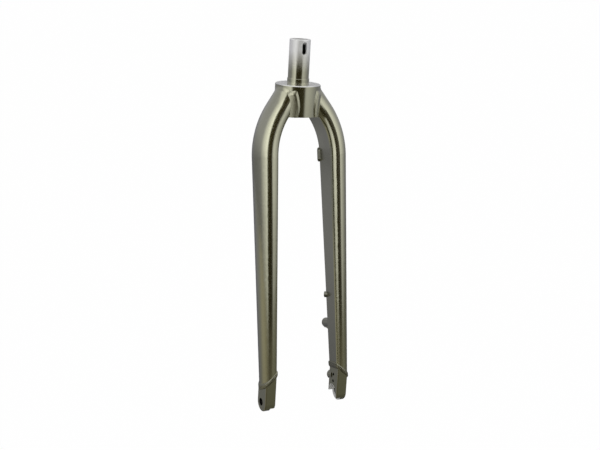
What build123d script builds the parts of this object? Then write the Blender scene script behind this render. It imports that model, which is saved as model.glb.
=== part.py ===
"""Rigid bicycle fork: welded aluminium, threadless steerer, disc brake posts on the rider's left.

Frame, in millimetres: the origin is on the steering axis at the crown's top face, +Z runs up
the steerer, +X points forward and +Y points to the rider's left.
"""

import os
from math import atan2, cos, degrees, radians, sin, tan

from build123d import *

os.makedirs("parts", exist_ok=True)

# Steerer
steerer_diameter = 28.6
steerer_bore = 22.2
steerer_height = 59.8
steerer_foot_diameter = 29.2
race_seat_diameter = 30.0
race_seat_height = 7.5
seat_chamfer = 0.3
slot_width = 6.5
slot_length = 17.0
slot_below_top = 11.3
steerer_chamfer = 0.6

# Crown
crown_diameter = 62.0
crown_height = 42.0
crown_chamfer = 1.0
seat_relief = 0.2
crown_weld_height = 2.4
crown_weld_round = 1.6
crown_weld_front = 5.0
crown_weld_over = -6.0
ground_radius = 10.0
ground_drop = 30.0
crown_weld_under = 10.0

# Wheel axle
axle_drop = 430.0
axle_rake = 62.5
hub_width = 110.0
axle_bore = 12.1
axle_thread_bore = 10.5

# Blades: D-shaped tubes, flat towards the wheel
blade_wall = 2.2
shoulder_half_width = 51.5
foot_half_width = 56.2
blade_lead = 7.0
join_drop = 35.15
shoulder_angle = 36.0
spine_start_share = 0.25
bend_radius = 105.0
shoulder_depth = 42.0
shoulder_outer = 17.3
shoulder_inner = 12.4
foot_depth = 25.0
foot_outer = 10.9
foot_inner = 8.7
corner_share = 0.15

# Dropouts
joint_drop = 397.0
joint_slope = 40.0
dropout_inset = 7.0
dropout_thickness = 8.5
dropout_radius = 12.9
dropout_forward = 1.5
dropout_round = 1.6
hub_pocket_radius = 10.0
hub_pocket_flare = 17.0
plug_clearance = 0.1
eyelet_bore = 4.2
eyelet_depth = 7.0
eyelet_spacing = 10.0
eyelet_above_axle = 16.0
dropout_weld_width = 7.0
dropout_weld_height = 2.0
weld_rim_share = 0.8

# Disc brake posts
post_spacing = 74.2
post_tilt = 19.0
post_diameter = 13.5
post_lateral = 53.4
post_behind_axle = 15.5
post_above_axle = 19.2
post_bore = 5.2
post_bore_depth = 10.0
post_web_width = 8.0
post_web_drop = 9.0
web_turn_share = 0.42
web_end_share = 0.5
post_chamfer = 0.8

# Hose guide and clip boss on the left blade
guide_drop = 97.0
guide_length = 20.0
guide_width = 8.4
guide_height = 2.6
guide_round = 1.2
hose_diameter = 5.2
groove_share = 0.3
clip_drop = 292.0
clip_diameter = 8.5
clip_height = 2.4
clip_bore = 4.2
guide_angle = 45.0

# Values that follow from the sizes above
lean = degrees(atan2(axle_rake + blade_lead, axle_drop))
along = cos(radians(lean))
hub_half = hub_width / 2
dropout_inner = hub_half - dropout_inset
dropout_outer = hub_half + dropout_thickness
crown_radius = crown_diameter / 2
shoulder_run_drop = along * (shoulder_half_width - crown_radius) / tan(radians(shoulder_angle))
shoulder_drop = join_drop + shoulder_run_drop
blade_plane = Plane(origin=(0, 0, 0), x_dir=(0, 1, 0), z_dir=(along, 0, sin(radians(lean))))
forward = blade_plane.z_dir


def blade_spine():
    """Centre line of the left blade: a run out of the crown, one bend and a long run down."""
    foot = axle_drop / along
    corner = shoulder_drop / along
    start = shoulder_half_width * spine_start_share
    rise = (shoulder_half_width - start) / tan(radians(shoulder_angle))
    with BuildLine(blade_plane) as spine:
        FilletPolyline(
            (start, rise - corner),
            (shoulder_half_width, -corner),
            (foot_half_width, -foot),
            radius=bend_radius,
        )
    return spine.edges().sort_by(Axis.Z, reverse=True)


shoulder_run, bend, leg = blade_spine()


def outline(place, direction, half, high, low, corner):
    """D-shaped outline: local x is forward, and its flat lies low towards the wheel, along local y."""
    with BuildSketch(Plane(origin=place, x_dir=forward, z_dir=direction)) as shape:
        with BuildLine():
            Line((half - corner, low), (corner - half, low))
            EllipticalCenterArc((corner - half, 0), corner, low, start_angle=90, arc_size=90)
            EllipticalCenterArc((0, 0), half, high, start_angle=180, arc_size=180)
            EllipticalCenterArc((half - corner, 0), corner, low, start_angle=0, arc_size=90)
        make_face()
    return shape.sketch


def section(place, direction, taper, inset):
    """Blade's outline, drawn in by inset all round; taper is 0 at the shoulder and 1 at the axle."""
    half = (shoulder_depth + (foot_depth - shoulder_depth) * taper) / 2
    high = shoulder_outer + (foot_outer - shoulder_outer) * taper
    low = shoulder_inner + (foot_inner - shoulder_inner) * taper
    corner = 2 * half * corner_share * (low - inset) / low
    return outline(place, direction, half - inset, high - inset, low - inset, corner)


def leg_section(drop, inset):
    """Outline of the tapering leg where it has come down by drop."""
    taper = (drop - leg_top) / (axle_drop - leg_top)
    return section(leg @ taper, leg % taper, taper, inset)


leg_top = -(leg @ 0).Z
upper_path = Wire([shoulder_run, bend])

# Joint between blade and dropout: a slanted cut, higher on the wheel side
joint_share = (joint_drop - leg_top) / (axle_drop - leg_top)
joint_plane = Plane(origin=leg @ joint_share, x_dir=forward, z_dir=leg % joint_share)
joint_plane = joint_plane.rotated((-joint_slope, 0, 0))

# Left blade, first as a filled form that other pieces are cut with
with BuildPart() as blade_form:
    sweep(section(shoulder_run @ 0, shoulder_run % 0, 0, 0), path=upper_path)
    loft([leg_section(leg_top, 0), leg_section(axle_drop, 0)])

with BuildPart() as crown_form:
    with BuildSketch(Plane.XY.offset(-crown_height)):
        Circle(crown_radius)
    extrude(amount=crown_height + steerer_height)

with BuildPart() as left_blade:
    add(blade_form.part)
    sweep(
        section(shoulder_run @ 0, shoulder_run % 0, 0, blade_wall),
        path=upper_path,
        mode=Mode.SUBTRACT,
    )
    loft([leg_section(leg_top, blade_wall), leg_section(axle_drop, blade_wall)], mode=Mode.SUBTRACT)
    add(crown_form.part, mode=Mode.SUBTRACT)
    split(bisect_by=joint_plane, keep=Keep.BOTTOM)

# Steerer: a turned tube whose race seat stands on the crown, with a pressed foot and a front slot
with BuildPart() as steerer:
    with BuildSketch(Plane.XY.offset(-crown_height)):
        Circle(steerer_foot_diameter / 2)
    extrude(amount=crown_height)
    with BuildSketch(Plane.XY):
        Circle(race_seat_diameter / 2)
    extrude(amount=race_seat_height)
    chamfer(steerer.edges().group_by(Axis.Z)[-1], seat_chamfer)
    with BuildSketch(Plane.XY.offset(race_seat_height)):
        Circle(steerer_diameter / 2)
    extrude(amount=steerer_height - race_seat_height)
    chamfer(steerer.edges().group_by(Axis.Z)[-1], steerer_chamfer)
    with BuildSketch(Plane.XY.offset(-crown_height)):
        Circle(steerer_bore / 2)
    extrude(amount=crown_height + steerer_height, mode=Mode.SUBTRACT)
    with BuildSketch(Plane.YZ):
        with Locations((0, steerer_height - slot_below_top)):
            SlotOverall(slot_length, slot_width, rotation=90)
    extrude(amount=steerer_diameter, mode=Mode.SUBTRACT)

# Crown: a short thick tube bored for the steerer
with BuildPart() as crown:
    with BuildSketch(Plane.XY.offset(-crown_height)):
        Circle(crown_radius)
    extrude(amount=crown_height)
    chamfer(crown.edges().group_by(Axis.Z)[-1], crown_chamfer)
    with BuildSketch(Plane.XY.offset(-crown_height)):
        Circle(steerer_foot_diameter / 2)
    extrude(amount=crown_height, mode=Mode.SUBTRACT)
    seat_edge = crown.edges().filter_by(GeomType.CIRCLE).group_by(Axis.Z)[-1].sort_by(SortBy.RADIUS)[0]
    chamfer(seat_edge, (race_seat_diameter - steerer_foot_diameter) / 2 + seat_relief)

# Weld round the mitred joint of blade and crown: ground to a smooth blend over the blade, and left
# as a wide bead under the blade's corners
with BuildPart() as ground_joint:
    with BuildSketch(Plane.XY.offset(-ground_drop)):
        Circle(crown_radius)
    extrude(amount=ground_drop)
    add(blade_form.part)
    crown_wall = ground_joint.faces().sort_by_distance((crown_radius, 0, -ground_drop / 2))[0]
    fillet(crown_wall.edges().filter_by(GeomType.BSPLINE), ground_radius)

with BuildPart() as left_crown_weld:
    bead_outline = outline(
        shoulder_run @ 0,
        shoulder_run % 0,
        shoulder_depth / 2 + crown_weld_front,
        shoulder_outer + crown_weld_over,
        shoulder_inner + crown_weld_under,
        shoulder_depth * corner_share,
    )
    sweep(bead_outline, path=upper_path)
    with BuildSketch(Plane.XY.offset(-crown_height)):
        Circle(crown_radius + crown_weld_height)
    extrude(amount=crown_height - crown_chamfer, mode=Mode.INTERSECT)
    weld_top = left_crown_weld.faces().filter_by(GeomType.CYLINDER).sort_by(SortBy.AREA)[-1]
    weld_rim = [edge for group in weld_top.edges().group_by(Axis.Z)[1:] for edge in group]
    chamfer(weld_rim, crown_weld_round)
    add(ground_joint.part)
    add(crown_form.part, mode=Mode.SUBTRACT)
    add(blade_form.part, mode=Mode.SUBTRACT)

# Brake post faces: the line between the posts leans back from the steering axis by post_tilt
post_out = Vector(-cos(radians(post_tilt)), 0, -sin(radians(post_tilt)))
post_up = Vector(-sin(radians(post_tilt)), 0, cos(radians(post_tilt)))
lower_post_face = Vector(axle_rake - post_behind_axle, post_lateral, -axle_drop + post_above_axle)
upper_post_face = lower_post_face + post_up * post_spacing

# Dropout's form: a plate round the axle with a pocket that flares open for the hub, and a plug
# inside the blade
joint_middle = leg @ joint_share
dropout_middle = axle_rake + dropout_forward
joint_reach = (foot_outer + foot_inner) * tan(radians(joint_slope))
pocket_mouth = hub_pocket_radius + 2 * dropout_radius * tan(radians(hub_pocket_flare))
with BuildPart() as plain_dropout:
    with BuildSketch(Plane.XZ.offset(-dropout_outer)):
        with Locations((dropout_middle, -axle_drop)):
            Circle(dropout_radius)
        with BuildLine():
            Line(
                (joint_middle.X - dropout_radius, joint_middle.Z + joint_reach),
                (joint_middle.X + dropout_radius, joint_middle.Z + joint_reach),
            )
        make_hull()
    extrude(amount=dropout_outer - dropout_inner)
    fillet(plain_dropout.faces().filter_by(Axis.Y).edges(), dropout_round)
    split(bisect_by=joint_plane, keep=Keep.TOP)
    with BuildSketch(Plane.XZ.offset(-hub_half)):
        with Locations((axle_rake, -axle_drop)):
            Circle(hub_pocket_radius)
        with BuildLine():
            Line(
                (axle_rake - pocket_mouth, -axle_drop - 2 * dropout_radius),
                (axle_rake + pocket_mouth, -axle_drop - 2 * dropout_radius),
            )
        make_hull()
    extrude(amount=dropout_inset, mode=Mode.SUBTRACT)

with BuildPart() as plug:
    extrude(leg_section(joint_drop + joint_reach, blade_wall + plug_clearance), amount=-2 * joint_reach)
    split(bisect_by=joint_plane, keep=Keep.BOTTOM)

# Weld bead round the joint of blade and dropout
with BuildPart() as blade_above_joint:
    add(blade_form.part)
    split(bisect_by=joint_plane, keep=Keep.BOTTOM)

with BuildPart() as left_dropout_weld:
    loft([leg_section(leg_top, -dropout_weld_height), leg_section(axle_drop, -dropout_weld_height)])
    split(bisect_by=joint_plane.offset(-dropout_weld_width / 2), keep=Keep.TOP)
    split(bisect_by=joint_plane.offset(dropout_weld_width / 2), keep=Keep.BOTTOM)
    joint_axis = Axis(joint_plane.origin, joint_plane.z_dir)
    bead_rims = left_dropout_weld.faces().filter_by(joint_axis).edges()
    chamfer(bead_rims, dropout_weld_height * weld_rim_share)
    add(blade_above_joint.part, mode=Mode.SUBTRACT)
    add(plain_dropout.part, mode=Mode.SUBTRACT)
    add(plug.part, mode=Mode.SUBTRACT)

# Left dropout, with a plain axle hole, the lower brake post and two eyelets that face the wheel
lower_post_plane = Plane(origin=lower_post_face, x_dir=(0, 1, 0), z_dir=post_out)
lower_post_reach = dropout_middle - eyelet_bore - lower_post_face.X
with BuildPart() as left_dropout:
    add(plain_dropout.part)
    add(plug.part)
    with BuildSketch(lower_post_plane):
        Circle(post_diameter / 2)
    extrude(amount=-lower_post_reach)
    chamfer(left_dropout.faces().sort_by_distance(lower_post_face)[0].edges(), post_chamfer)
    with BuildSketch(lower_post_plane):
        Circle(post_bore / 2)
    extrude(amount=-post_bore_depth, mode=Mode.SUBTRACT)
    with BuildSketch(Plane.XZ.offset(-dropout_outer)):
        with Locations((axle_rake, -axle_drop)):
            Circle(axle_bore / 2)
    extrude(amount=dropout_outer - dropout_inner, mode=Mode.SUBTRACT)
    with BuildSketch(Plane.XZ.offset(-dropout_inner - eyelet_depth)):
        for row in range(2):
            with Locations((dropout_middle, -axle_drop + eyelet_above_axle + row * eyelet_spacing)):
                Circle(eyelet_bore / 2)
    extrude(amount=eyelet_depth, mode=Mode.SUBTRACT)
    add(left_dropout_weld.part, mode=Mode.SUBTRACT)

# Right dropout, threaded for the axle
with BuildPart() as right_dropout:
    add(plain_dropout.part)
    add(plug.part)
    with BuildSketch(Plane.XZ.offset(-dropout_outer)):
        with Locations((axle_rake, -axle_drop)):
            Circle(axle_thread_bore / 2)
    extrude(amount=dropout_outer - dropout_inner, mode=Mode.SUBTRACT)
    mirror(about=Plane.XZ, mode=Mode.REPLACE)

# Upper brake post: a boss welded to the back of the left blade, with a web under it
upper_post_plane = Plane(origin=upper_post_face, x_dir=(0, 1, 0), z_dir=post_out)
upper_post_middle = leg @ ((-upper_post_face.Z - leg_top) / (axle_drop - leg_top))
upper_post_reach = (upper_post_middle.X - upper_post_face.X) / cos(radians(post_tilt))
with BuildPart() as upper_brake_post:
    with BuildSketch(upper_post_plane):
        Circle(post_diameter / 2)
    extrude(amount=-upper_post_reach)
    chamfer(upper_brake_post.faces().sort_by_distance(upper_post_face)[0].edges(), post_chamfer)
    with BuildSketch(Plane(origin=upper_post_face, x_dir=-post_out, z_dir=(0, -1, 0))):
        with BuildLine():
            web_start = (2 * post_chamfer, -post_diameter / 2)
            web_turn = (upper_post_reach * web_turn_share, -post_diameter / 2)
            web_end = (upper_post_reach * web_end_share, -post_diameter / 2 - post_web_drop)
            Bezier(web_start, web_turn, web_end)
            Polyline(
                web_end,
                (upper_post_reach, web_end[1]),
                (upper_post_reach, 0),
                (web_start[0], 0),
                web_start,
            )
        make_face()
    extrude(amount=post_web_width / 2, both=True)
    add(blade_form.part, mode=Mode.SUBTRACT)
    with BuildSketch(upper_post_plane):
        Circle(post_bore / 2)
    extrude(amount=-post_bore_depth, mode=Mode.SUBTRACT)


def corner_plane(drop):
    """Plane that touches the left blade's corner behind the wheel side, x along the blade."""
    share = (drop - leg_top) / (axle_drop - leg_top)
    wheelward = (leg % share).cross(forward)
    back = cos(radians(guide_angle))
    side = sin(radians(guide_angle))
    depth = shoulder_depth + (foot_depth - shoulder_depth) * share
    low = shoulder_inner + (foot_inner - shoulder_inner) * share
    corner = depth * corner_share
    reach = ((corner * back) ** 2 + (low * side) ** 2) ** 0.5
    behind = depth / 2 - corner + corner**2 * back / reach
    touch = leg @ share - forward * behind + wheelward * (low**2 * side / reach)
    return Plane(origin=touch, x_dir=leg % share, z_dir=wheelward * side - forward * back)


# Hose guide: a saddle with a groove along the blade
guide_seat = corner_plane(guide_drop)
with BuildPart() as hose_guide:
    with BuildSketch(guide_seat.offset(-guide_width / 2)):
        SlotOverall(guide_length, guide_width)
    extrude(amount=guide_width / 2 + guide_height)
    guide_rim = hose_guide.faces().sort_by(Axis(guide_seat.origin, guide_seat.z_dir))[-1].edges()
    fillet(guide_rim, guide_round)
    with Locations(guide_seat.offset(guide_height + hose_diameter * (0.5 - groove_share))):
        Cylinder(hose_diameter / 2, 2 * guide_length, rotation=(0, 90, 0), mode=Mode.SUBTRACT)
    add(blade_form.part, mode=Mode.SUBTRACT)

# Clip boss: a small round boss with a thread for a hose clip
clip_seat = corner_plane(clip_drop)
with BuildPart() as clip_boss:
    with BuildSketch(clip_seat.offset(-clip_diameter / 2)):
        Circle(clip_diameter / 2)
    extrude(amount=clip_diameter / 2 + clip_height)
    add(blade_form.part, mode=Mode.SUBTRACT)
    with BuildSketch(clip_seat.offset(clip_height)):
        Circle(clip_bore / 2)
    extrude(amount=-clip_height - clip_diameter / 2, mode=Mode.SUBTRACT)

# The right side mirrors the left
with BuildPart() as right_blade:
    mirror(left_blade.part, about=Plane.XZ)

with BuildPart() as right_crown_weld:
    mirror(left_crown_weld.part, about=Plane.XZ)

with BuildPart() as right_dropout_weld:
    mirror(left_dropout_weld.part, about=Plane.XZ)

pieces = {
    "steerer": steerer,
    "crown": crown,
    "left_blade": left_blade,
    "right_blade": right_blade,
    "left_crown_weld": left_crown_weld,
    "right_crown_weld": right_crown_weld,
    "left_dropout": left_dropout,
    "right_dropout": right_dropout,
    "left_dropout_weld": left_dropout_weld,
    "right_dropout_weld": right_dropout_weld,
    "upper_brake_post": upper_brake_post,
    "hose_guide": hose_guide,
    "clip_boss": clip_boss,
}
for name, piece in pieces.items():
    piece.part.label = name
    export_step(piece.part, f"parts/{name}.step")
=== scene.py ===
import math

import bpy
from mathutils import Matrix, Vector


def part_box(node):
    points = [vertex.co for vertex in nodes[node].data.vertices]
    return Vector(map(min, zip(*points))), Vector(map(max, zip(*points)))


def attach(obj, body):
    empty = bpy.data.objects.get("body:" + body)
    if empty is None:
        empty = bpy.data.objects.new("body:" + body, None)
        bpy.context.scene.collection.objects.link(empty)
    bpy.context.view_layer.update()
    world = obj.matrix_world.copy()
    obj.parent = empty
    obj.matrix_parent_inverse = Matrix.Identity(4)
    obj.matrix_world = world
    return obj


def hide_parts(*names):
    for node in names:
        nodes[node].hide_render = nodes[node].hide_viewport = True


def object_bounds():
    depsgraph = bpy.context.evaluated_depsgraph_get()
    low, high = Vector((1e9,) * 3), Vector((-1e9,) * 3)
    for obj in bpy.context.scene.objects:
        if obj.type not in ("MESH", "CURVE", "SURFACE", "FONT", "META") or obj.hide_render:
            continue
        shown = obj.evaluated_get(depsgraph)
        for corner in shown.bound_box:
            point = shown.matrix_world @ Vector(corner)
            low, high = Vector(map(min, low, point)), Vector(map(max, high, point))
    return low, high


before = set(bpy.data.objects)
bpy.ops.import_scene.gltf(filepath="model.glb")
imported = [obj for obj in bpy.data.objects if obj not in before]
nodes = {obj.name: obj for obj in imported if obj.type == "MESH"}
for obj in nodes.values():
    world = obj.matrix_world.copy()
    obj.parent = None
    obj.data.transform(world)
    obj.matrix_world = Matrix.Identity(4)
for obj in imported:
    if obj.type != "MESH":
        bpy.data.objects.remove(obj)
cad_low, cad_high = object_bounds()
bpy.ops.object.select_all(action="DESELECT")


# Blades: bent, tapering aluminium tubes that are sprayed with a metallic champagne
# colour and a clear gloss coat, which carries soft waves and fine flakes.
paint_colour = (0.55, 0.55, 0.42, 1.0)
paint_deep_colour = (0.48, 0.475, 0.35, 1.0)
paint_roughness = (0.15, 0.2)
coat_weight = 0.35
coat_roughness = 0.05
cloud_scale = 38.0
cloud_depth = 0.6
flake_scale = 2600.0
flake_span = (0.35, 0.65)
gloss_scale = 160.0
gloss_span = (0.3, 0.7)
skin_scale = 420.0
skin_depth = 0.000003

# Each blade's nose: its turn, and the headings between which the turn fades out, in degrees.
nose_turns = {"left": (-28.0, -14.0, -3.0), "right": (-16.0, -3.0, 8.0)}
side_turn = math.radians(-7.0)
nose_forward = 0.8
turn_starts, turn_full = 0.030, 0.042


def new_material(name):
    material = bpy.data.materials.new(name)
    material.use_nodes = True
    tree = material.node_tree
    tree.nodes.clear()
    output = tree.nodes.new("ShaderNodeOutputMaterial")
    shader = tree.nodes.new("ShaderNodeBsdfPrincipled")
    tree.links.new(shader.outputs["BSDF"], output.inputs["Surface"])
    return material, tree, shader


def object_point(tree):
    return tree.nodes.new("ShaderNodeTexCoord").outputs["Object"]


def noise(tree, point, scale, detail=3.0):
    texture = tree.nodes.new("ShaderNodeTexNoise")
    texture.inputs["Scale"].default_value = scale
    texture.inputs["Detail"].default_value = detail
    tree.links.new(point, texture.inputs["Vector"])
    return texture.outputs["Fac"]


def ramp(tree, value, low, high, from_low=0.0, from_high=1.0):
    spread = tree.nodes.new("ShaderNodeMapRange")
    spread.inputs["From Min"].default_value = from_low
    spread.inputs["From Max"].default_value = from_high
    spread.inputs["To Min"].default_value = low
    spread.inputs["To Max"].default_value = high
    tree.links.new(value, spread.inputs["Value"])
    return spread.outputs["Result"]


def blend_colours(tree, share, first, second):
    mix = tree.nodes.new("ShaderNodeMix")
    mix.data_type = "RGBA"
    tree.links.new(share, mix.inputs["Factor"])
    for socket, colour in ((mix.inputs["A"], first), (mix.inputs["B"], second)):
        if isinstance(colour, tuple):
            socket.default_value = colour
        else:
            tree.links.new(colour, socket)
    return mix.outputs["Result"]


def blend_values(tree, share, first, second):
    mix = tree.nodes.new("ShaderNodeMix")
    tree.links.new(share, mix.inputs["Factor"])
    for socket, value in ((mix.inputs["A"], first), (mix.inputs["B"], second)):
        if isinstance(value, float):
            socket.default_value = value
        else:
            tree.links.new(value, socket)
    return mix.outputs["Result"]


def add_bump(tree, shader, height, depth):
    """Raise the surface by height times depth, in metres, over the bump that it has already."""
    bump = tree.nodes.new("ShaderNodeBump")
    bump.inputs["Strength"].default_value = 1.0
    bump.inputs["Distance"].default_value = depth
    tree.links.new(height, bump.inputs["Height"])
    for link in shader.inputs["Normal"].links:
        tree.links.new(link.from_socket, bump.inputs["Normal"])
    tree.links.new(bump.outputs["Normal"], shader.inputs["Normal"])


def axes_of(tree, vector):
    split = tree.nodes.new("ShaderNodeSeparateXYZ")
    tree.links.new(vector, split.inputs["Vector"])
    return split.outputs


def math_node(tree, operation, first, second=0.0):
    node = tree.nodes.new("ShaderNodeMath")
    node.operation = operation
    for socket, value in zip(node.inputs, (first, second)):
        if isinstance(value, float):
            socket.default_value = value
        else:
            tree.links.new(value, socket)
    return node.outputs[0]


def length_of(tree, first, second):
    squares = (math_node(tree, "MULTIPLY", side, side) for side in (first, second))
    return math_node(tree, "SQRT", math_node(tree, "ADD", *squares))


def lean_nose(tree, shader, point, side):
    """Turn the shading about the vertical, most on the side of the nose where the tube is drawn flat."""
    nose_turn, fade_from, fade_to = (math.radians(angle) for angle in nose_turns[side])
    normal = tree.nodes.new("ShaderNodeNewGeometry").outputs["Normal"]
    place = axes_of(tree, point)
    facing = axes_of(tree, normal)
    facing_angle = math_node(tree, "ARCTAN2", facing["Y"], facing["X"])
    before_nose = ramp(tree, facing_angle, 1.0, 0.0, fade_from, fade_to)
    forward = ramp(tree, facing["X"], 0.0, 1.0, 0.0, nose_forward)
    nose_share = math_node(tree, "MULTIPLY", before_nose, forward)
    off_crown = ramp(tree, length_of(tree, place["X"], place["Y"]), 0.0, 1.0, turn_starts, turn_full)
    blade_turn = blend_values(tree, nose_share, side_turn, nose_turn)
    turn = tree.nodes.new("ShaderNodeVectorRotate")
    turn.rotation_type = "Z_AXIS"
    tree.links.new(normal, turn.inputs["Vector"])
    tree.links.new(math_node(tree, "MULTIPLY", blade_turn, off_crown), turn.inputs["Angle"])
    tree.links.new(turn.outputs["Vector"], shader.inputs["Normal"])


def paint(tree, shader, point):
    """Champagne metallic paint: cloudy colour, uneven gloss, flakes and a soft orange-peel skin."""
    clouds = noise(tree, point, cloud_scale)
    flakes = ramp(tree, noise(tree, point, flake_scale, 1.0), 0.0, 1.0, *flake_span)
    share = blend_values(tree, flakes, ramp(tree, clouds, 0.0, cloud_depth), clouds)
    colour = blend_colours(tree, share, paint_deep_colour, paint_colour)
    gloss = ramp(tree, noise(tree, point, gloss_scale), *paint_roughness, *gloss_span)
    shader.inputs["Metallic"].default_value = 1.0
    shader.inputs["Coat Weight"].default_value = coat_weight
    shader.inputs["Coat Roughness"].default_value = coat_roughness
    add_bump(tree, shader, noise(tree, point, skin_scale, 2.0), skin_depth)
    return colour, gloss


def blade_material(side):
    material, tree, shader = new_material(side + "_blade_champagne")
    point = object_point(tree)
    lean_nose(tree, shader, point, side)
    colour, gloss = paint(tree, shader, point)
    tree.links.new(colour, shader.inputs["Base Color"])
    tree.links.new(gloss, shader.inputs["Roughness"])
    return material


def dress(node, material):
    mesh = nodes[node].data
    mesh.materials.clear()
    mesh.materials.append(material)


left_paint = blade_material("left")
dress("left_blade", left_paint)
dress("upper_brake_post", left_paint)
dress("right_blade", blade_material("right"))


# Hose guide and clip boss: small fittings on the left blade's inner corner. Their paint is dull,
# and its colour is darkened most of the way to near-black in uneven patches: painted shade.
fitting_shade_colour = (0.10, 0.10, 0.09, 1.0)
fitting_shade_share = (0.68, 0.78)
fitting_dull_roughness = (0.3, 0.36)
shade_patch_scale = 220.0

fitting_material, fitting_tree, fitting_shader = new_material("fitting_painted_shade")
fitting_point = object_point(fitting_tree)
fitting_colour, fitting_gloss = paint(fitting_tree, fitting_shader, fitting_point)
shade_patches = noise(fitting_tree, fitting_point, shade_patch_scale)
fitting_shade = blend_colours(
    fitting_tree,
    ramp(fitting_tree, shade_patches, *fitting_shade_share),
    fitting_colour,
    fitting_shade_colour,
)
fitting_dullness = ramp(fitting_tree, fitting_gloss, *fitting_dull_roughness, *paint_roughness)
fitting_tree.links.new(fitting_shade, fitting_shader.inputs["Base Color"])
fitting_tree.links.new(fitting_dullness, fitting_shader.inputs["Roughness"])
for fitting in ("hose_guide", "clip_boss"):
    dress(fitting, fitting_material)


# Steerer: a turned aluminium tube, bare and speckled at the top, where the paint was
# masked off, with overspray that thickens down to the painted race seat.
overspray_top = 0.052
overspray_bottom = 0.024
speckle_scale = 900.0
speckle_drift = 0.014
bare_colour = (0.93, 0.93, 0.92, 1.0)
bare_worn_colour = (0.78, 0.78, 0.77, 1.0)
bare_metallic = 0.65
turned_roughness = (0.42, 0.52)
turning_spacing = 0.0006
steerer_bore_radius = 0.01110
bore_margin = 0.0002
bore_dark_below = 0.0533
bore_fade = 0.002
bore_shade_colour = (0.02, 0.02, 0.018, 1.0)

# Length of one wave of a band texture at a scale of 1, in metres.
wave_length = 0.314


def turning_marks(tree, point, spacing):
    wave = tree.nodes.new("ShaderNodeTexWave")
    wave.wave_type = "BANDS"
    wave.bands_direction = "Z"
    wave.inputs["Scale"].default_value = wave_length / spacing
    wave.inputs["Distortion"].default_value = 0.6
    wave.inputs["Detail"].default_value = 2.0
    tree.links.new(point, wave.inputs["Vector"])
    return wave.outputs["Fac"]


steerer_material, steerer_tree, steerer_shader = new_material("steerer_masked_aluminium")
steerer_point = object_point(steerer_tree)
steerer_paint, steerer_gloss = paint(steerer_tree, steerer_shader, steerer_point)
steerer_place = axes_of(steerer_tree, steerer_point)
speckle = noise(steerer_tree, steerer_point, speckle_scale, 2.0)
drift = math_node(
    steerer_tree,
    "ADD",
    math_node(steerer_tree, "MULTIPLY", speckle, speckle_drift),
    steerer_place["Z"],
)
bare_share = ramp(steerer_tree, drift, 0.0, 1.0, overspray_bottom, overspray_top)
bare_speckled = blend_colours(steerer_tree, speckle, bare_worn_colour, bare_colour)
bare_gloss = ramp(
    steerer_tree,
    turning_marks(steerer_tree, steerer_point, turning_spacing),
    *turned_roughness,
)
# Inside the bore, down to bore_dark_below, the colour is painted near-black: painted shade.
from_axis = length_of(steerer_tree, steerer_place["X"], steerer_place["Y"])
inside = math_node(steerer_tree, "LESS_THAN", from_axis, steerer_bore_radius + bore_margin)
deep = ramp(steerer_tree, steerer_place["Z"], 1.0, 0.0, bore_dark_below - bore_fade, bore_dark_below)
in_bore = math_node(steerer_tree, "MULTIPLY", inside, deep)
steerer_outside = blend_colours(steerer_tree, bare_share, steerer_paint, bare_speckled)
steerer_tree.links.new(
    blend_colours(steerer_tree, in_bore, steerer_outside, bore_shade_colour),
    steerer_shader.inputs["Base Color"],
)
steerer_tree.links.new(
    blend_values(steerer_tree, bare_share, steerer_gloss, bare_gloss),
    steerer_shader.inputs["Roughness"],
)
steerer_tree.links.new(
    blend_values(steerer_tree, bare_share, 1.0, bare_metallic),
    steerer_shader.inputs["Metallic"],
)
dress("steerer", steerer_material)


# Crown: a short thick aluminium tube, painted outside, with a bare top face that was
# faced in the lathe after painting so that the lower race sits flat on it.
painted_below, faced_above = -0.0009, -0.0007
ring_scale = 380.0
ring_colour = (0.66, 0.66, 0.66, 1.0)
faced_roughness = (0.3, 0.42)

crown_material, crown_tree, crown_shader = new_material("crown_faced_top")
crown_point = object_point(crown_tree)
crown_paint, crown_gloss = paint(crown_tree, crown_shader, crown_point)
crown_height = axes_of(crown_tree, crown_point)["Z"]
faced_share = ramp(crown_tree, crown_height, 0.0, 1.0, painted_below, faced_above)
face_rings = crown_tree.nodes.new("ShaderNodeTexWave")
face_rings.wave_type = "RINGS"
face_rings.rings_direction = "Z"
face_rings.inputs["Scale"].default_value = ring_scale
face_rings.inputs["Distortion"].default_value = 0.4
crown_tree.links.new(crown_point, face_rings.inputs["Vector"])
faced_colour = blend_colours(crown_tree, face_rings.outputs["Fac"], ring_colour, bare_colour)
faced_gloss = ramp(crown_tree, face_rings.outputs["Fac"], *faced_roughness)
crown_tree.links.new(
    blend_colours(crown_tree, faced_share, crown_paint, faced_colour),
    crown_shader.inputs["Base Color"],
)
crown_tree.links.new(
    blend_values(crown_tree, faced_share, crown_gloss, faced_gloss),
    crown_shader.inputs["Roughness"],
)
dress("crown", crown_material)


# Crown welds: wide beads under the blades' corners, laid by hand in short overlapping puddles,
# which turn into a smooth ground blend further out. Both are painted over.
bead_shade_colour = (0.08, 0.075, 0.05, 1.0)
shade_on_crests = 0.8
ground_shares = (1.0, 0.0, 0.022, 0.028)


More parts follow.
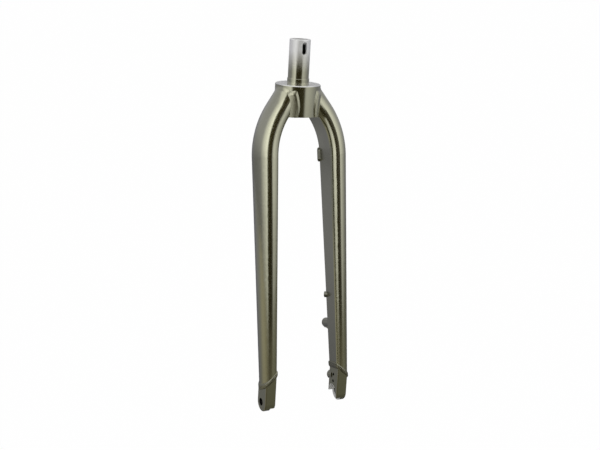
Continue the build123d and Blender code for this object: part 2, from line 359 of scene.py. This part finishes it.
def weld_material(side, name, spacing, direction, bead_shade_share, ripple_depth, roughness, bead_shares):
    """Painted bead; bead_shares gives its share at two distances from the fork's middle plane."""
    material, tree, shader = new_material(side + name)
    point = object_point(tree)
    lean_nose(tree, shader, point, side)
    colour, gloss = paint(tree, shader, point)
    ripple = tree.nodes.new("ShaderNodeTexWave")
    ripple.wave_type = "BANDS"
    ripple.bands_direction = direction
    ripple.wave_profile = "SIN"
    ripple.inputs["Scale"].default_value = wave_length / spacing
    ripple.inputs["Distortion"].default_value = 4.0
    ripple.inputs["Detail"].default_value = 1.0
    ripple.inputs["Detail Scale"].default_value = 1.4
    tree.links.new(point, ripple.inputs["Vector"])
    from_middle = math_node(tree, "ABSOLUTE", axes_of(tree, point)["Y"])
    laid = ramp(tree, from_middle, *bead_shares)
    add_bump(tree, shader, math_node(tree, "MULTIPLY", ripple.outputs["Fac"], laid), ripple_depth)
    # The bead's colour is darkened towards near-black in the ripples' hollows, and a little less on their
    # crests: painted shade.
    ripple_shade = ramp(tree, ripple.outputs["Fac"], bead_shade_share, shade_on_crests * bead_shade_share)
    tree.links.new(blend_colours(tree, ripple_shade, colour, bead_shade_colour), shader.inputs["Base Color"])
    tree.links.new(blend_values(tree, laid, gloss, roughness), shader.inputs["Roughness"])
    return material


for side in ("left", "right"):
    crown_bead_paint = weld_material(
        side,
        "_crown_weld_ripples",
        spacing=0.0036,
        direction="DIAGONAL",
        bead_shade_share=0.05,
        ripple_depth=0.00003,
        roughness=0.36,
        bead_shares=ground_shares,
    )
    dress(side + "_crown_weld", crown_bead_paint)


# Dropout welds: one bead round each blade's foot, laid by hand, so its back is round and its
# puddles are uneven. Each is worked from a copy of the plain bead and sunk a little at its toes.
bead_size = 0.956
bead_grain = 0.0005
bead_rounding = 26
puddle_size = 0.0045
puddle_height = 0.0005
puddle_middle = 0.6
foot_shares = (0.75, 1.0, 0.048, 0.064)
puddles = bpy.data.textures.new("weld_puddles", "CLOUDS")
puddles.noise_scale = puddle_size
puddles.noise_depth = 1


def laid_bead(side):
    plain_bead = side + "_dropout_weld"
    low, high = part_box(plain_bead)
    middle = [(first + last) / 2 for first, last in zip(low, high)]
    bpy.ops.object.select_all(action="DESELECT")
    bead = bpy.data.objects.new(side + "_dropout_bead", nodes[plain_bead].data.copy())
    bead.matrix_world = nodes[plain_bead].matrix_world
    bpy.context.collection.objects.link(bead)
    bpy.context.view_layer.objects.active = bead
    bead.select_set(True)
    bpy.ops.object.mode_set(mode="EDIT")
    bpy.ops.mesh.select_all(action="SELECT")
    bpy.ops.mesh.remove_doubles(threshold=0.00001)
    bpy.ops.transform.resize(value=(bead_size, bead_size, bead_size), center_override=middle)
    bpy.ops.object.mode_set(mode="OBJECT")
    for kind in ("REMESH", "SMOOTH", "DISPLACE"):
        bpy.ops.object.modifier_add(type=kind)
        step = bead.modifiers[-1]
        if kind == "REMESH":
            step.mode = "VOXEL"
            step.voxel_size = bead_grain
        elif kind == "SMOOTH":
            step.factor = 0.5
            step.iterations = bead_rounding
        else:
            step.texture = puddles
            step.texture_coords = "LOCAL"
            step.strength = puddle_height
            step.mid_level = puddle_middle
        bpy.ops.object.modifier_apply(modifier=step.name)
    bpy.ops.object.shade_smooth()
    return bead


for side in ("left", "right"):
    bead = laid_bead(side)
    # These beads are darkened about half-way to near-black: painted shade.
    bead_paint = weld_material(
        side,
        "_dropout_weld_ripples",
        spacing=0.0032,
        direction="X",
        bead_shade_share=0.48,
        ripple_depth=0.00002,
        roughness=0.5,
        bead_shares=foot_shares,
    )
    bead.data.materials.clear()
    bead.data.materials.append(bead_paint)
    dress(side + "_dropout_weld", bead_paint)
    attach(bead, "root")
    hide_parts(side + "_dropout_weld")


# Dropouts: forged aluminium ends, painted, with the hub pocket and the axle hole
# machined bare after painting. The axle hole's wall is painted near-black: painted shade.
axle_x, axle_z = 0.0625, -0.4300
axle_bore_radius = 0.00605
axle_thread_radius = 0.00525
hole_margin = 0.00008
hole_shade_colour = (0.035, 0.034, 0.03, 1.0)
hole_roughness = 0.55
hub_face = 0.0550
face_margin = 0.0003
pocket_radius = 0.0100
pocket_margin = 0.0005
pocket_flare = math.tan(math.radians(17.0))
pocket_colour = (0.55, 0.55, 0.54, 1.0)
pocket_roughness = 0.5
pocket_metallic = 0.6
brushed_scale = 700.0


def dropout_material(name, hole_radius):
    material, tree, shader = new_material(name)
    point = object_point(tree)
    colour, gloss = paint(tree, shader, point)
    place = axes_of(tree, point)
    from_middle = math_node(tree, "ABSOLUTE", place["Y"])
    across = math_node(tree, "SUBTRACT", place["X"], axle_x)
    level = math_node(tree, "SUBTRACT", place["Z"], axle_z)
    above = math_node(tree, "MAXIMUM", level, 0.0)
    spread = math_node(tree, "MULTIPLY", math_node(tree, "MINIMUM", level, 0.0), pocket_flare)
    beside = math_node(tree, "ADD", math_node(tree, "ABSOLUTE", across), spread)
    reach = length_of(tree, math_node(tree, "MAXIMUM", beside, 0.0), above)
    in_pocket = math_node(tree, "LESS_THAN", reach, pocket_radius + pocket_margin)
    at_face = math_node(tree, "LESS_THAN", from_middle, hub_face + face_margin)
    bare = math_node(tree, "MULTIPLY", in_pocket, at_face)
    in_hole = math_node(tree, "LESS_THAN", length_of(tree, across, level), hole_radius + hole_margin)
    brushed = blend_colours(tree, noise(tree, point, brushed_scale, 2.0), pocket_colour, bare_colour)
    colour = blend_colours(tree, bare, colour, brushed)
    colour = blend_colours(tree, in_hole, colour, hole_shade_colour)
    gloss = blend_values(tree, bare, gloss, pocket_roughness)
    gloss = blend_values(tree, in_hole, gloss, hole_roughness)
    tree.links.new(colour, shader.inputs["Base Color"])
    tree.links.new(gloss, shader.inputs["Roughness"])
    tree.links.new(blend_values(tree, bare, 1.0, pocket_metallic), shader.inputs["Metallic"])
    return material


dress("left_dropout", dropout_material("left_dropout_machined", axle_bore_radius))
dress("right_dropout", dropout_material("right_dropout_machined", axle_thread_radius))


# Studio: a pale floor under the fork, a white surround and two soft lamps. A round tent
# of lit cloth, dark in front, draws the long bands that the gloss shows.
floor_gap = 0.25
floor_size = 400.0
floor_white_share = 0.985
floor_level = cad_low[2] - floor_gap
bpy.ops.mesh.primitive_plane_add(size=floor_size, location=(0.0, 0.0, floor_level))
floor = bpy.context.active_object
floor.name = "studio_floor"
floor_material, floor_tree, floor_shader = new_material("floor_white")
floor_shader.inputs["Base Color"].default_value = (0.86, 0.86, 0.86, 1.0)
floor_shader.inputs["Roughness"].default_value = 0.9


def seen_directly(tree):
    """1 for rays that show the background itself, straight or in a reflection, and 0 for its light."""
    rays = tree.nodes.new("ShaderNodeLightPath").outputs
    mirrored = math_node(tree, "MAXIMUM", rays["Is Glossy Ray"], rays["Is Transmission Ray"])
    return math_node(tree, "MAXIMUM", rays["Is Camera Ray"], mirrored)


floor_seen = math_node(floor_tree, "MULTIPLY", seen_directly(floor_tree), floor_white_share)
floor_glow = floor_tree.nodes.new("ShaderNodeEmission")
floor_glow.inputs["Strength"].default_value = 1.0
floor_mix = floor_tree.nodes.new("ShaderNodeMixShader")
floor_tree.links.new(floor_seen, floor_mix.inputs["Fac"])
floor_tree.links.new(floor_shader.outputs["BSDF"], floor_mix.inputs[1])
floor_tree.links.new(floor_glow.outputs["Emission"], floor_mix.inputs[2])
floor_output = [node for node in floor_tree.nodes if node.type == "OUTPUT_MATERIAL"][0]
floor_tree.links.new(floor_mix.outputs["Shader"], floor_output.inputs["Surface"])
floor.data.materials.append(floor_material)

camera_place = Vector((1.36042, -0.70812, 0.19458))
camera_right = Vector((0.456609, 0.888043, 0.053742))
camera_down = Vector((0.24454, -0.067197, -0.967308))
camera_forward = Vector((-0.855399, 0.454824, -0.247845))
camera_turn = Matrix((camera_right, -camera_down, -camera_forward)).transposed()
camera_heading = math.atan2(camera_place.y, camera_place.x)
bpy.ops.object.camera_add()
camera = bpy.context.active_object
camera.matrix_world = Matrix.Translation(camera_place) @ camera_turn.to_4x4()
camera.data.sensor_width = 36.0
camera.data.lens = 67.86
camera.data.dof.use_dof = False
bpy.context.scene.camera = camera

fork_middle = Vector((0.03, 0.0, -0.2))
lamp_distance = 1.6
lamp_height = 0.6
for angle in (-44.0, 44.0):
    lamp_heading = camera_heading + math.radians(angle)
    lamp_side = Vector((math.cos(lamp_heading), math.sin(lamp_heading), 0.0))
    lamp_place = lamp_distance * lamp_side + Vector((0.0, 0.0, lamp_height))
    bpy.ops.object.light_add(type="AREA")
    lamp = bpy.context.active_object
    lamp.data.shape = "RECTANGLE"
    lamp.data.size = 0.9
    lamp.data.size_y = 1.2
    lamp.data.energy = 6.0
    lamp.visible_glossy = False
    lamp.location = lamp_place
    lamp.rotation_euler = (fork_middle - lamp_place).to_track_quat("-Z", "Y").to_euler()


def level_ramp(tree, value, stops):
    """Grey or coloured levels along a value that runs from 0 to 1."""
    steps = tree.nodes.new("ShaderNodeValToRGB")
    while len(steps.color_ramp.elements) < len(stops):
        steps.color_ramp.elements.new(1.0)
    for element, (place, colour) in zip(steps.color_ramp.elements, stops):
        element.position = place
        element.color = colour
    tree.links.new(value, steps.inputs["Fac"])
    return steps.outputs["Color"]


def cloth(panel, name):
    """Lit cloth that only the gloss shows; gives its tree, its shader, its place and its turn from 0 to 1."""
    panel.name = name
    panel.visible_camera = False
    panel.visible_shadow = False
    panel.visible_diffuse = False
    material, tree, shader = new_material(name + "_cloth")
    shader.inputs["Base Color"].default_value = (0.0, 0.0, 0.0, 1.0)
    shader.inputs["Specular IOR Level"].default_value = 0.0
    shader.inputs["Roughness"].default_value = 1.0
    place = axes_of(tree, object_point(tree))
    angle = math_node(tree, "ARCTAN2", place["Y"], place["X"])
    turn = ramp(tree, angle, 0.0, 1.0, -math.pi, math.pi)
    panel.data.materials.append(material)
    return tree, shader, place, turn


def grey(level, blue=0.0):
    return (level, level, level * (1.0 + blue), 1.0)


def stop(angle):
    """Place in a level ramp of an angle from the camera's heading, positive to the camera's right."""
    return 0.5 + angle / 360.0


tent_radius = 1.5
tent_height = 2.2
tent_sides = 128
tent_stops = (
    (stop(-180.0), grey(0.48)),
    (stop(-155.0), grey(0.44, 0.1)),
    (stop(-82.0), grey(0.44, 0.1)),
    (stop(-73.0), grey(0.74)),
    (stop(-56.0), grey(1.15)),
    (stop(-36.0), grey(1.55)),
    (stop(-30.0), grey(1.55)),
    (stop(-24.0), (0.075, 0.065, 0.028, 1.0)),
    (stop(5.0), (0.045, 0.038, 0.018, 1.0)),
    (stop(36.0), (0.075, 0.065, 0.028, 1.0)),
    (stop(42.0), grey(0.95)),
    (stop(52.0), grey(1.1)),
    (stop(75.0), grey(0.85)),
    (stop(110.0), grey(0.44, 0.1)),
    (stop(155.0), grey(0.44, 0.1)),
    (stop(180.0), grey(0.48)),
)
foot_stops = (
    (stop(-180.0), grey(0.2, 0.15)),
    (stop(-145.0), grey(0.2, 0.15)),
    (stop(-128.0), grey(0.27, 0.1)),
    (stop(-110.0), grey(0.28)),
    (stop(-90.0), (0.40, 0.375, 0.30, 1.0)),
    (stop(-75.0), (0.40, 0.375, 0.29, 1.0)),
    (stop(-58.0), (0.32, 0.295, 0.215, 1.0)),
    (stop(-40.0), (0.19, 0.175, 0.12, 1.0)),
    (stop(-16.0), (0.11, 0.10, 0.07, 1.0)),
    (stop(7.0), (0.14, 0.13, 0.09, 1.0)),
    (stop(25.0), (0.19, 0.175, 0.13, 1.0)),
    (stop(50.0), (0.21, 0.205, 0.155, 1.0)),
    (stop(90.0), (0.15, 0.145, 0.12, 1.0)),
    (stop(180.0), grey(0.2, 0.15)),
)
bpy.ops.mesh.primitive_cylinder_add(
    vertices=tent_sides,
    radius=tent_radius,
    depth=tent_height,
    end_fill_type="NOTHING",
    location=(0.0, 0.0, floor_level + tent_height / 2),
    rotation=(0.0, 0.0, camera_heading),
)
tent = bpy.context.active_object
tent_tree, tent_shader, tent_place, tent_turn = cloth(tent, "light_tent")

# Heights on the tent count from its middle: the hem where the floor's colours end, half the
# hem's softness, and the height at which the cloth comes to its full light.
hem_level = 0.25 - tent_height / 2
hem_soft = 0.035
full_level = 0.92 - tent_height / 2
hem_light = 0.4
hem = ramp(tent_tree, tent_place["Z"], 0.0, 1.0, hem_level - hem_soft, hem_level + hem_soft)
rising = ramp(tent_tree, tent_place["Z"], hem_light, 1.0, hem_level, full_level)
tent_light = math_node(tent_tree, "MAXIMUM", rising, math_node(tent_tree, "SUBTRACT", 1.0, hem))
tent_colour = blend_colours(
    tent_tree,
    hem,
    level_ramp(tent_tree, tent_turn, foot_stops),
    level_ramp(tent_tree, tent_turn, tent_stops),
)
tent_tree.links.new(tent_colour, tent_shader.inputs["Emission Color"])
tent_tree.links.new(tent_light, tent_shader.inputs["Emission Strength"])

mat_lift = 0.001
mat_dim = 0.6
mat_dim_within, mat_full_beyond = 0.4, 1.45
bpy.ops.mesh.primitive_circle_add(
    vertices=tent_sides,
    radius=tent_radius,
    fill_type="TRIFAN",
    location=(0.0, 0.0, floor_level + mat_lift),
    rotation=(0.0, 0.0, camera_heading),
)
mat = bpy.context.active_object
mat_tree, mat_shader, mat_place, mat_turn = cloth(mat, "floor_mat")
mat_reach = length_of(mat_tree, mat_place["X"], mat_place["Y"])
mat_light = ramp(mat_tree, mat_reach, mat_dim, 1.0, mat_dim_within, mat_full_beyond)
mat_tree.links.new(mat_light, mat_shader.inputs["Emission Strength"])
mat_tree.links.new(level_ramp(mat_tree, mat_turn, foot_stops), mat_shader.inputs["Emission Color"])

surround_light = 0.7
world = bpy.data.worlds.new("white_surround")
world.use_nodes = True
bpy.context.scene.world = world
surround = world.node_tree.nodes["Background"]
surround.inputs["Color"].default_value = (1.0, 1.0, 1.0, 1.0)
surround_level = ramp(world.node_tree, seen_directly(world.node_tree), surround_light, 1.0)
world.node_tree.links.new(surround_level, surround.inputs["Strength"])

bpy.context.scene.view_settings.view_transform = "Standard"
